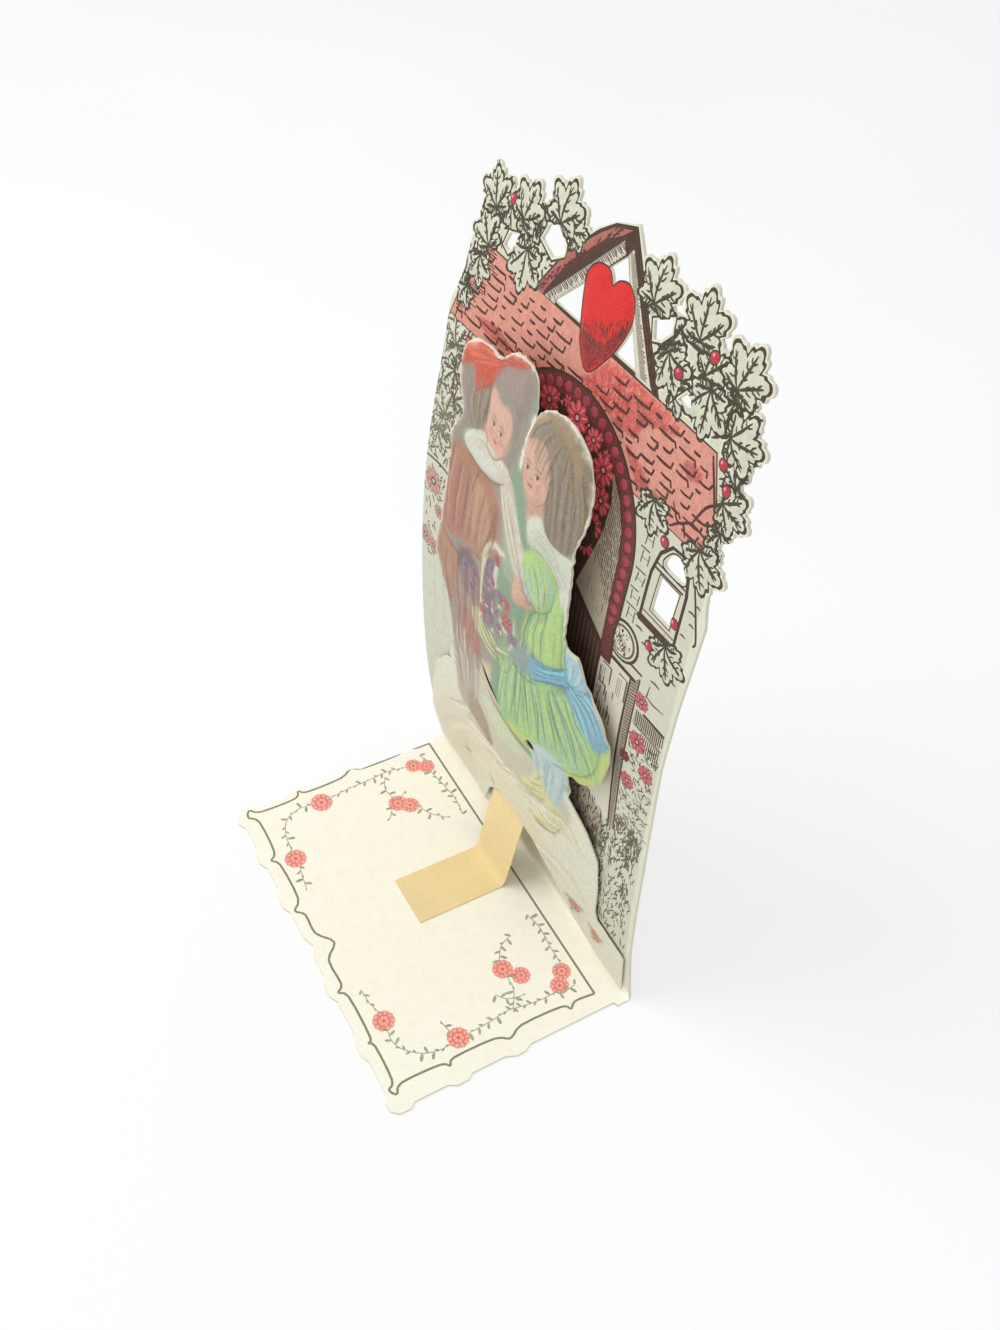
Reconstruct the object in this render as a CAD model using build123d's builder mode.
from build123d import *
from math import cos, radians, sin
import os

# Stand-up die-cut greeting card. A lying base and a standing panel are one folded sheet. A second
# sheet with two figures on a ground stands in front of the panel, and a paper strap glued to the
# base and to the back of that second sheet holds its middle forward.
# X runs along the fold, the card faces -Y, and Z is up.

os.makedirs("parts", exist_ok=True)

# Driving sizes of the folded sheet
card_width = 85.0
card_height = 157.0
base_depth = 57.0
card_thickness = 0.6
fold_radius = 0.55
left_bow = 7.3
right_bow = 2.0
top_lean = 6.0

# Driving sizes of the figure sheet
layer_span = 82.0
layer_height = 130.0
layer_thickness = 0.35
layer_bow = 3.3
layer_tilt = 3.0
relief_height = 0.6

# Driving sizes of the strap
strap_width = 12.7
strap_thickness = 0.25
strap_flat = 21.0
strap_lap = 8.0
strap_crease = 10.6
strap_centre = -1.6

# Clearances
seat_gap = 0.15
glue_film = 0.05

# Scallops of the base's edge
scallop_radius = 2.2
corner_radius = 3.0
edge_step = 1.0
front_notch_radius = 1.3
fold_ear = 3.2

# Print and die-cut layout
print_shift = -2.2
gable_width = 37.3
gable_lean = 2.3
gable_foot_step = 6.4
gable_crown_step = 4.7
heart_width = 13.2
heart_height = 16.6
heart_step = 0.7
heart_relief = 0.55
window_width = 5.8
window_height = 8.2

fold_y = (base_depth - top_lean) / 2
fold_height = card_thickness + fold_radius

# Radius of half a vine leaf, from its tip round to its stem, as shares of its reach
leaf_radius_shares = [1.0, 0.93, 0.68, 0.90, 0.95, 0.70, 0.74, 0.80, 0.66, 0.62, 0.45]

# How the standing panel bows and leans, as shares of the card's height
bow_shares = [
    (0.1, 0.45), (0.2, 0.75), (0.3, 0.92), (0.45, 1.0), (0.6, 0.86), (0.75, 0.45), (0.87, 0.14), (1.0, 0.0),
]
lean_shares = [0.0, 0.0, 0.0, 0.0, 0.03, 0.14, 0.42, 1.0]


def bow_at(x):
    """Forward bow of the panel at a place along the fold."""
    across = (x + card_width / 2) / card_width
    return left_bow + (right_bow - left_bow) * across


def panel_profile(x):
    """Front face of the standing panel at x, from the fold to the top, as (y, z) points."""
    front = fold_y - card_thickness
    points = [(front, fold_height)]
    for (height_share, bow_share), lean_share in zip(bow_shares, lean_shares):
        y = front - bow_at(x) * bow_share + top_lean * lean_share
        points.append((y, card_height * height_share))
    return points


def layer_profile(x):
    """Back face of the figure sheet at x, as (y, z) points."""
    reach = min(1.0, abs(x - bow_centre) / bow_half_span)
    stand_off = seat_gap + layer_bow * (1 - reach**2) ** 2
    points = []
    for y, z in panel_profile(x):
        points.append((y - stand_off - layer_tilt * z / card_height, z))
    return points


def curved_slab(profile, places, proud, depth):
    """Thin standing slab over several places, its front proud of a profile and its back behind it."""
    with BuildPart() as slab:
        for x in places:
            front = [(y - proud, z) for y, z in profile(x)]
            back = [(y + depth, z) for y, z in profile(x)]
            with BuildSketch(Plane.YZ.offset(x)):
                with BuildLine():
                    Spline(*front)
                    Line(front[-1], back[-1])
                    Spline(*reversed(back))
                    Line(back[0], front[0])
                make_face()
        loft(ruled=True)
    return slab.part


def height_on(profile, x, z):
    """Depth of a profile at a height, read between its points."""
    points = profile(x)
    for (y_low, z_low), (y_high, z_high) in zip(points, points[1:]):
        if z_low <= z <= z_high:
            return y_low + (y_high - y_low) * (z - z_low) / (z_high - z_low)
    return points[-1][0]


def scaled(shares, width, height, left=0.0, bottom=0.0):
    """Outline points from shares of a width and a height."""
    points = []
    for x_share, z_share in shares:
        points.append((left + x_share * width, bottom + z_share * height))
    return points


def leaf_points(x, z, reach, turn):
    """Outline of one five-lobed vine leaf, its tip turned by an angle from straight down."""
    points = []
    steps_to_stem = len(leaf_radius_shares) - 1
    for step, radius_share in enumerate(leaf_radius_shares + leaf_radius_shares[-2:0:-1]):
        heading = radians(180.0 * step / steps_to_stem + turn - 90)
        points.append((x + reach * radius_share * cos(heading), z + reach * radius_share * sin(heading)))
    return points


# Places of the vine leaves on the panel: x, z, reach and turn, the first three as shares of the
# card's width, its height and its width
leaf_shares = [
    (-0.439, 0.881, 0.065, 215), (-0.327, 0.942, 0.069, 165), (-0.439, 0.931, 0.071, 200),
    (-0.160, 0.955, 0.046, 110), (-0.212, 0.964, 0.072, 172), (-0.294, 0.889, 0.070, 4),
    (0.104, 0.961, 0.067, 178), (0.192, 0.912, 0.066, 40), (0.238, 0.963, 0.071, 186),
    (0.365, 0.949, 0.073, 165), (0.435, 0.834, 0.059, 80), (0.405, 0.897, 0.070, 100),
    (0.307, 0.906, 0.074, 8), (0.412, 0.763, 0.072, 25),
]
vine_left_shares = [
    (-0.498, 0.764), (-0.493, 0.866), (-0.471, 0.917), (-0.388, 0.946), (-0.282, 0.955), (-0.165, 0.951),
    (-0.144, 0.932), (-0.235, 0.873),
]
vine_right_shares = [
    (0.035, 0.873), (0.076, 0.939), (0.141, 0.955), (0.235, 0.962), (0.353, 0.959), (0.418, 0.914),
    (0.454, 0.847), (0.442, 0.777), (0.353, 0.758),
]
vine_gap_shares = [
    [(-0.376, 0.887), (-0.367, 0.902), (-0.336, 0.907), (-0.340, 0.893), (-0.358, 0.883)],
    [(-0.261, 0.922), (-0.247, 0.940), (-0.219, 0.946), (-0.184, 0.934), (-0.179, 0.925), (-0.214, 0.913)],
    [(0.115, 0.936), (0.164, 0.950), (0.172, 0.939), (0.149, 0.925), (0.128, 0.920)],
    [(0.238, 0.890), (0.252, 0.900), (0.269, 0.898), (0.276, 0.892), (0.258, 0.887)],
]
wall_right_shares = [
    (0.500, 0.0), (0.484, 0.22), (0.464, 0.37), (0.457, 0.48), (0.457, 0.58), (0.468, 0.66), (0.470, 0.70),
]
heart_shares = [(0.0, 0.0), (0.27, 0.25), (0.50, 0.64), (0.42, 0.93), (0.22, 1.0), (0.0, 0.86)]
pane_shares = [(0.0, 0.0), (0.92, 0.02), (1.0, 0.97), (0.03, 1.0)]

# Heights of roof, gable, heart and window, as shares of the card's height
roof_low_share = 0.785
roof_high_share = 0.872
gable_top_share = 0.998
heart_foot_share = 0.841
window_foot_share = 0.659
lunette_foot_share = 0.727
roof_low = roof_low_share * card_height
roof_high = roof_high_share * card_height
gable_top = gable_top_share * card_height
heart_foot = heart_foot_share * card_height
window_foot = window_foot_share * card_height
lunette_foot = lunette_foot_share * card_height

# Reaches across the panel, as shares of the card's width
roof_half_low_share = 0.470
roof_half_high_share = 0.389
window_left_share = 0.322
layer_left_share = -0.494
roof_half_low = roof_half_low_share * card_width
roof_half_high = roof_half_high_share * card_width
window_left = window_left_share * card_width
layer_left = layer_left_share * card_width
heart_centre = print_shift + heart_step

# Height of the lunette, as a share of the window's
lunette_height_share = 0.4
lunette_height = lunette_height_share * window_height

# Middle and reach of the figure sheet's bow and foot of the strap's lap, as shares of its span and height
bow_centre_share = 0.535
bow_reach_share = 0.33
lap_foot_share = 0.16
layer_foot = fold_height + seat_gap
bow_centre = layer_left + bow_centre_share * layer_span
bow_half_span = bow_reach_share * layer_span

# Places the bowed sheet and the strap's lap are read at
layer_steps = 8
lap_steps = 4

# Outlines on the figure sheet, as shares of its span and its height
band_right_share = 0.105
ground_shares = [
    (0.000, 0.093), (0.045, 0.20), (0.085, 0.285), (0.135, 0.335), (0.185, 0.345), (0.30, 0.36),
    (0.45, 0.39), (0.62, 0.40), (0.735, 0.355), (0.815, 0.305), (0.862, 0.265), (0.868, 0.14),
    (0.868, 0.10),
]
arch_shares = [
    (0.270, 0.0), (0.315, 0.045), (0.380, 0.125), (0.455, 0.178), (0.540, 0.186), (0.625, 0.160),
    (0.700, 0.106), (0.760, 0.055), (0.860, 0.0),
]
boy_shares = [
    (0.175, 0.34), (0.195, 0.41), (0.170, 0.49), (0.130, 0.515), (0.098, 0.565), (0.122, 0.63),
    (0.135, 0.73), (0.122, 0.80), (0.160, 0.83), (0.120, 0.895), (0.142, 0.94), (0.170, 0.952),
    (0.235, 0.950), (0.300, 0.965), (0.360, 0.992), (0.412, 0.998), (0.440, 0.985), (0.442, 0.955),
    (0.436, 0.920), (0.425, 0.875), (0.437, 0.825), (0.470, 0.74), (0.500, 0.66), (0.490, 0.55),
    (0.450, 0.44), (0.430, 0.36),
]
girl_shares = [
    (0.430, 0.36), (0.440, 0.55), (0.470, 0.68), (0.480, 0.78), (0.470, 0.845), (0.462, 0.90),
    (0.466, 0.945), (0.500, 0.972), (0.552, 0.982), (0.610, 0.972), (0.662, 0.935), (0.682, 0.880),
    (0.672, 0.835), (0.655, 0.790), (0.668, 0.745), (0.672, 0.68), (0.690, 0.655), (0.735, 0.655),
    (0.772, 0.605), (0.835, 0.555), (0.860, 0.510), (0.835, 0.448), (0.780, 0.418), (0.732, 0.412),
    (0.738, 0.355), (0.60, 0.30),
]
slit_shares = [
    (0.352, 0.452), (0.385, 0.418), (0.445, 0.402), (0.485, 0.398), (0.440, 0.414), (0.392, 0.430),
]
peep_share = (0.612, 0.405)
peep_radius = 1.3

# Scallops along the front and the sides, as shares of the base's width and depth
front_scallop_shares = (-0.30, -0.145, 0.145, 0.30)
side_scallop_shares = (0.49, 0.72)

# Raised forms of the figure sheet: cap, heads, coat, basket, dress, sash, legs
relief_shares = [
    [
        (0.150, 0.880), (0.165, 0.935), (0.240, 0.930), (0.310, 0.945), (0.400, 0.975), (0.405, 0.930),
        (0.280, 0.890),
    ],
    [(0.200, 0.800), (0.200, 0.865), (0.280, 0.878), (0.405, 0.915), (0.400, 0.850), (0.330, 0.805)],
    [
        (0.150, 0.790), (0.150, 0.640), (0.125, 0.570), (0.190, 0.530), (0.300, 0.560), (0.340, 0.660),
        (0.310, 0.780),
    ],
    [(0.215, 0.400), (0.215, 0.510), (0.300, 0.540), (0.330, 0.440), (0.300, 0.380)],
    [(0.335, 0.560), (0.350, 0.640), (0.440, 0.650), (0.450, 0.560), (0.390, 0.500)],
    [
        (0.500, 0.860), (0.505, 0.935), (0.560, 0.958), (0.620, 0.940), (0.655, 0.880), (0.630, 0.800),
        (0.560, 0.790),
    ],
    [(0.500, 0.640), (0.520, 0.745), (0.580, 0.770), (0.640, 0.730), (0.650, 0.640), (0.570, 0.600)],
    [
        (0.480, 0.460), (0.500, 0.610), (0.570, 0.580), (0.660, 0.600), (0.730, 0.520), (0.800, 0.480),
        (0.700, 0.430),
    ],
    [(0.670, 0.620), (0.720, 0.640), (0.790, 0.570), (0.800, 0.520), (0.750, 0.530), (0.690, 0.590)],
]

# The heart's raised form, cut from a slab that stands proud of the panel
heart_right = scaled(heart_shares, heart_width, heart_height, heart_centre, heart_foot)
heart_left = scaled(heart_shares, -heart_width, heart_height, heart_centre, heart_foot)
panel_ends = (-card_width / 2, card_width / 2)
with BuildPart() as heart_form:
    add(curved_slab(panel_profile, panel_ends, heart_relief, card_thickness / 2))
    with BuildSketch(Plane.XZ):
        with BuildLine():
            Spline(*heart_right)
            Spline(*heart_left)
        make_face()
    extrude(amount=base_depth, both=True, mode=Mode.INTERSECT)

# The folded sheet: a thin profile of bend and panel, cut to the panel's outline, with the base plate
bend_centre = (fold_y - fold_height, fold_height)
with BuildPart() as card_sheet:
    for x in panel_ends:
        front = panel_profile(x)
        back = [(y + card_thickness, z) for y, z in front]
        with BuildSketch(Plane.YZ.offset(x)):
            with BuildLine():
                CenterArc(bend_centre, fold_radius, 270, 90)
                Spline(*front)
                Line(front[-1], back[-1])
                Spline(*reversed(back))
                CenterArc(bend_centre, fold_height, 270, 90)
                Line((bend_centre[0], 0), (bend_centre[0], card_thickness))
            make_face()
    loft(ruled=True)

    with BuildSketch(Plane.XZ):
        wall_right = scaled(wall_right_shares, card_width, card_height)
        with BuildLine():
            Spline(*wall_right)
            Polyline(
                wall_right[-1],
                (print_shift + roof_half_low, roof_low),
                (-card_width / 2, roof_low),
                (-card_width / 2, 0),
                wall_right[0],
            )
        make_face()
        with BuildLine():
            Polyline(
                (-card_width / 2, roof_low),
                (print_shift + roof_half_low, roof_low),
                (print_shift + roof_half_high, roof_high),
                (print_shift - roof_half_high, roof_high),
                close=True,
            )
        make_face()
        for mass_shares in (vine_left_shares, vine_right_shares):
            with BuildLine():
                Polyline(*scaled(mass_shares, card_width, card_height), close=True)
            make_face()
        for x_share, z_share, reach_share, turn in leaf_shares:
            leaf = leaf_points(x_share * card_width, z_share * card_height, reach_share * card_width, turn)
            with BuildLine():
                Polyline(*leaf, close=True)
            make_face()
        for gap_shares in vine_gap_shares:
            with BuildLine():
                Polyline(*scaled(gap_shares, card_width, card_height), close=True)
            make_face(mode=Mode.SUBTRACT)
        with BuildLine():
            Polyline(
                (print_shift - gable_width / 2, roof_high),
                (print_shift + gable_lean, gable_top),
                (print_shift + gable_width / 2, roof_high),
                close=True,
            )
        make_face()
        with BuildLine():
            Polyline(
                (print_shift - gable_width / 2 + gable_foot_step, roof_high),
                (print_shift + gable_lean, gable_top - gable_crown_step),
                (print_shift + gable_width / 2 - gable_foot_step, roof_high),
                close=True,
            )
        make_face(mode=Mode.SUBTRACT)
        with BuildLine():
            Spline(*heart_right)
            Spline(*heart_left)
        make_face()
        pane = scaled(pane_shares, window_width, window_height, window_left, window_foot)
        with BuildLine():
            Polyline(*pane, close=True)
        make_face(mode=Mode.SUBTRACT)
        with BuildLine():
            lunette_ends = [(window_left, lunette_foot), (window_left + window_width, lunette_foot)]
            Line(*lunette_ends)
            SagittaArc(*lunette_ends, lunette_height)
        make_face(mode=Mode.SUBTRACT)
    extrude(amount=base_depth, both=True, mode=Mode.INTERSECT)

    front_line = fold_y - base_depth + edge_step
    with BuildSketch(Plane.XY):
        with Locations((0, (bend_centre[0] + front_line) / 2)):
            Rectangle(card_width - 2 * edge_step, bend_centre[0] - front_line)
        with Locations((0, bend_centre[0] - fold_ear / 2)):
            Rectangle(card_width, fold_ear)
        for share in front_scallop_shares:
            with Locations((print_shift + share * card_width, fold_y - base_depth + scallop_radius)):
                Circle(scallop_radius)
        for side in (-1, 1):
            for share in side_scallop_shares:
                with Locations((side * (card_width / 2 - scallop_radius), fold_y - share * base_depth)):
                    Circle(scallop_radius)
            with Locations((side * (card_width / 2 - corner_radius), fold_y - base_depth + corner_radius)):
                Circle(corner_radius)
        with Locations((print_shift, front_line)):
            Circle(front_notch_radius, mode=Mode.SUBTRACT)
    extrude(amount=card_thickness)
    add(heart_form.part)

card_sheet.part.label = "card_sheet"
export_step(card_sheet.part, "parts/card_sheet.step")

# The figure sheet: its raised forms first, then the thin bowed sheet with its die-cut outline
layer_places = [layer_left + layer_span * step / layer_steps for step in range(layer_steps + 1)]
with BuildPart() as figure_relief:
    add(curved_slab(layer_profile, layer_places, layer_thickness + relief_height, 0))
    with BuildSketch(Plane.XZ):
        for form_shares in relief_shares:
            form = scaled(form_shares, layer_span, layer_height, layer_left, layer_foot)
            with BuildLine():
                Spline(*form, periodic=True)
            make_face()
    extrude(amount=base_depth, both=True, mode=Mode.INTERSECT)

with BuildPart() as figure_layer:
    add(curved_slab(layer_profile, layer_places, layer_thickness, 0))
    with BuildSketch(Plane.XZ):
        for outline_shares in (boy_shares, girl_shares):
            outline = scaled(outline_shares, layer_span, layer_height, layer_left, layer_foot)
            with BuildLine():
                Spline(*outline, periodic=True)
            make_face()
        ground = scaled(ground_shares, layer_span, layer_height, layer_left, layer_foot)
        with BuildLine():
            Spline(*ground)
            Polyline(
                ground[-1],
                (layer_left + layer_span, layer_foot + band_right_share * layer_height),
                (layer_left + layer_span, layer_foot),
                (layer_left, layer_foot),
                ground[0],
            )
        make_face()
        arch = scaled(arch_shares, layer_span, layer_height, layer_left, layer_foot)
        with BuildLine():
            Spline(*arch)
            Line(arch[-1], arch[0])
        make_face(mode=Mode.SUBTRACT)
        with BuildLine():
            Spline(*scaled(slit_shares, layer_span, layer_height, layer_left, layer_foot), periodic=True)
        make_face(mode=Mode.SUBTRACT)
        with Locations(*scaled([peep_share], layer_span, layer_height, layer_left, layer_foot)):
            Circle(peep_radius, mode=Mode.SUBTRACT)
    extrude(amount=base_depth, both=True, mode=Mode.INTERSECT)
    add(figure_relief.part)

figure_layer.part.label = "figure_layer"
export_step(figure_layer.part, "parts/figure_layer.step")

# The strap: flat on the base, creased, and lapped on the back of the figure sheet above its arch
crease_y = fold_y - strap_crease
lap_low = layer_foot + lap_foot_share * layer_height
lap_high = lap_low + strap_lap
lap_gap = strap_thickness + 2 * seat_gap
strap_left = strap_centre - strap_width / 2
lap_places = [strap_left + strap_width * step / lap_steps for step in range(lap_steps + 1)]
lap_low_y = max(height_on(layer_profile, x, lap_low) for x in lap_places) + lap_gap
lap_high_y = max(height_on(layer_profile, x, lap_high) for x in lap_places) + lap_gap
strap_path = [
    (crease_y - strap_flat, card_thickness + glue_film),
    (crease_y, card_thickness + glue_film),
    (lap_low_y, lap_low),
    (lap_high_y, lap_high),
]
with BuildPart() as pull_strap:
    with BuildSketch(Plane.YZ.offset(strap_left)):
        with BuildLine():
            Polyline(*strap_path)
            offset(amount=strap_thickness, side=Side.LEFT)
        make_face()
    extrude(amount=strap_width)

pull_strap.part.label = "pull_strap"
export_step(pull_strap.part, "parts/pull_strap.step")
